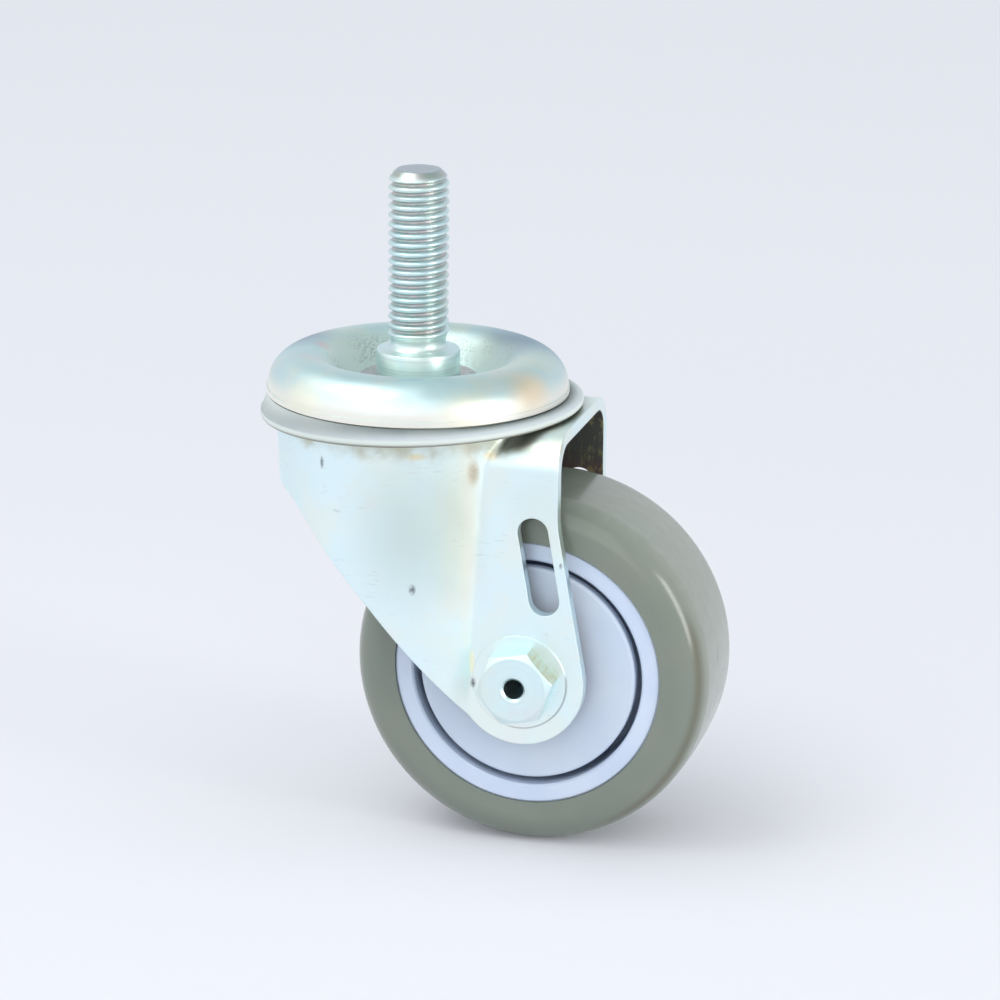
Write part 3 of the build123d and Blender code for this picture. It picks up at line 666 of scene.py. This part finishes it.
def make_seal_ring():
    """The flexible ring under the dish: a level top, and a soft rim that droops to the front."""
    low, high = box_of("raceway_seal")
    rim_r = high.y
    tilt = radians(SEAL_TILT)
    rim_bottom = low.z + rim_r * sin(tilt)
    rows = [
        circle(SEAL_BORE_R + SEAL_BORE_BEVEL_R, high.z - SEAL_BORE_BEVEL_DROP),
        circle(SEAL_TOP_R, high.z),
    ]
    tilted = []
    for angle in map(radians, SEAL_RIM_ANGLES):
        centre_height = SEAL_RIM - SEAL_ROUND if angle > 0 else SEAL_ROUND
        radius = rim_r - SEAL_ROUND + SEAL_ROUND * cos(angle)
        tilted.append((radius, centre_height + SEAL_ROUND * sin(angle)))
    tilted.append((SEAL_BORE_R + SEAL_SHIFT + SEAL_FOOT, 0.0))
    for radius, height in tilted:
        rows.append([
            (
                x * cos(tilt) - z * sin(tilt) + SEAL_SHIFT,
                y,
                x * sin(tilt) + z * cos(tilt) + rim_bottom,
            )
            for x, y, z in circle(radius, height)
        ])
    return grid_mesh("raceway_seal_ring", rows, looped=True)


# ---------------------------------------------------------------- stage, light and camera
def seen_directly(tree):
    """1 for the rays that show a backdrop: the camera's, and those off gloss and through glass."""
    path = add(tree, "LightPath").outputs
    seen = maths(tree, "MAXIMUM", path["Is Camera Ray"], path["Is Glossy Ray"])
    return maths(tree, "MAXIMUM", seen, path["Is Transmission Ray"])


def make_floor():
    """A wide pale floor under the wheel. It reaches past the horizon of the photograph's view."""
    ground = box_of("tread")[0].z * MM
    mesh = bpy.data.meshes.new("floor")
    turns = ((-1, -1), (1, -1), (1, 1), (-1, 1))
    corners = [(x * FLOOR_REACH, y * FLOOR_REACH, ground) for x, y in turns]
    mesh.from_pydata(corners, [], [(0, 1, 2, 3)])
    floor = bpy.data.objects.new("floor", mesh)
    bpy.context.scene.collection.objects.link(floor)
    made, tree, shader = material("floor_paper", 0.8)
    shader.inputs["Base Color"].default_value = rgb(227, 229, 235)
    shader.inputs["Specular IOR Level"].default_value = 0.1
    glow = add(tree, "Emission", {"Color": rgb(*BACKDROP), "Strength": 1.0})
    place = add(tree, "TexCoord").outputs["Object"]
    distance = add(tree, "VectorMath", {0: place}, operation="LENGTH").outputs["Value"]
    far = ramp(tree, distance, *FLOOR_GLOW_SPAN, FLOOR_GLOW_NEAR, FLOOR_GLOW_FAR)
    share = times(tree, seen_directly(tree), far)
    both = add(tree, "MixShader", {0: share, 1: shader.outputs[0], 2: glow.outputs[0]})
    tree.links.new(both.outputs[0], tree.nodes["Material Output"].inputs["Surface"])
    mesh.materials.append(made)


def make_world():
    """Even light from all round. What sees it directly sees the pale backdrop's colour, which
    is a little darker overhead."""
    world = bpy.data.worlds.new("studio")
    world.use_nodes = True
    bpy.context.scene.world = world
    tree = world.node_tree
    tree.nodes.clear()
    light = add(tree, "Background", {"Color": rgb(250, 251, 255), "Strength": WORLD_LIGHT})
    view = add(tree, "TexCoord").outputs["Generated"]
    height = add(tree, "SeparateXYZ", {"Vector": view}).outputs["Z"]
    overhead = ramp(tree, height, *OVERHEAD_RISE)
    shade = mix(tree, overhead, rgb(*BACKDROP), rgb(*OVERHEAD))
    backdrop = add(tree, "Background", {"Color": shade, "Strength": 1.0})
    seen = seen_directly(tree)
    both = add(tree, "MixShader", {0: seen, 1: light.outputs[0], 2: backdrop.outputs[0]})
    add(tree, "OutputWorld", {"Surface": both.outputs[0]})


def add_softbox(name, place, width, height, power, colour=(1.0, 1.0, 1.0)):
    """A rectangular lamp that faces the castor, in metres and watts."""
    light = bpy.data.lights.new(name, "AREA")
    light.shape = "RECTANGLE"
    light.size = width
    light.size_y = height
    light.energy = power
    light.color = colour
    lamp = bpy.data.objects.new(name, light)
    lamp.location = place
    aim = CAMERA_AIM - Vector(place)
    lamp.rotation_mode = "QUATERNION"
    lamp.rotation_quaternion = aim.to_track_quat("-Z", "Y")
    bpy.context.scene.collection.objects.link(lamp)
    return lamp


def make_lights():
    add_softbox("front_box", (-0.20, -0.95, 0.82), 1.7, 1.3, 5.6)
    add_softbox("overhead_box", (-0.50, -0.20, 1.00), 0.8, 0.7, 4.2)
    add_softbox("left_box", (-1.20, -0.45, 0.35), 0.9, 0.9, 0.9)
    add_softbox("right_strip", (0.98, -0.40, 0.22), 0.26, 0.62, 3.4, (1.0, 0.98, 0.93))
    fill = add_softbox("right_fill_box", (1.20, 0.15, 0.12), 0.7, 0.5, 2.6)
    fill.visible_glossy = False


def make_camera():
    """The photograph's camera: its place, its slight roll and its long lens."""
    azimuth, elevation = radians(CAMERA_AZIMUTH), radians(CAMERA_ELEVATION)
    roll = radians(CAMERA_ROLL)
    back = Vector((sin(azimuth) * cos(elevation), -cos(azimuth) * cos(elevation), sin(elevation)))
    level = Vector((cos(azimuth), sin(azimuth), 0.0))
    upright = back.cross(level)
    right = level * cos(roll) + upright * sin(roll)
    up = back.cross(right)
    lens = bpy.data.cameras.new("camera")
    lens.lens = CAMERA_LENS
    lens.sensor_width = SENSOR
    lens.clip_start = 0.05
    lens.clip_end = 60.0
    camera = bpy.data.objects.new("camera", lens)
    turn = Matrix((right, up, back)).transposed()
    camera.matrix_world = Matrix.Translation(CAMERA_AIM + back * CAMERA_DISTANCE) @ turn.to_4x4()
    bpy.context.scene.collection.objects.link(camera)
    bpy.context.scene.camera = camera


def dress(frame, looks):
    """Gives each CAD node its material."""
    for name, made in looks.items():
        for place in frame["nodes"][name].material_slots:
            place.material = made


def main():
    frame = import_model()
    bpy.context.scene.view_settings.view_transform = "Standard"
    make_camera()
    make_world()
    make_lights()
    make_floor()

    turned = make_stud_zinc()
    bolt = make_bolt_zinc()
    cup = make_turned_zinc("cup_zinc", "Z", STEM_PLACE, rgb(206, 226, 228), 0.4)[0]
    ring_steel = make_steel("ring_steel", rgb(176, 182, 190), 0.25)
    ball_steel = make_steel("ball_steel", rgb(205, 209, 214), 0.08)
    guard = make_moulded("guard_plastic", rgb(195, 209, 227), rgb(201, 213, 228), 0.42)
    cage = make_moulded("cage_plastic", rgb(214, 204, 178), rgb(206, 196, 170), 0.45)
    looks = {
        "fork": make_fork_zinc(),
        "upper_raceway_dish": make_dish_zinc(),
        "lower_raceway_cup": cup,
        "stem_washer": make_mottled_zinc(),
        "raceway_seal": make_seal(),
        "upper_balls": ball_steel,
        "lower_balls": ball_steel,
        "axle_bolt": bolt,
        "lock_nut": bolt,
        "nut_washer": bolt,
        "bearing_spacer": ring_steel,
        "wheel_core": make_moulded("core_plastic", rgb(198, 212, 233), rgb(205, 218, 236), 0.36),
        "tread": make_tread(),
    }
    for side in ("left_", "right_"):
        looks[side + "thread_guard"] = guard
        looks[side + "bearing_cage"] = cage
        looks[side + "bearing_balls"] = ball_steel
        for piece in ("inner_ring", "outer_ring", "outer_shield", "inner_shield"):
            looks[side + "bearing_" + piece] = ring_steel
    dress(frame, looks)

    stud = make_stud()
    stud.data.materials.append(turned)
    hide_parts("threaded_stem")
    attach(stud, "mount")

    seal = make_seal_ring()
    seal.data.materials.append(looks["raceway_seal"])
    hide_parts("raceway_seal")
    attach(seal, "fork")


main()
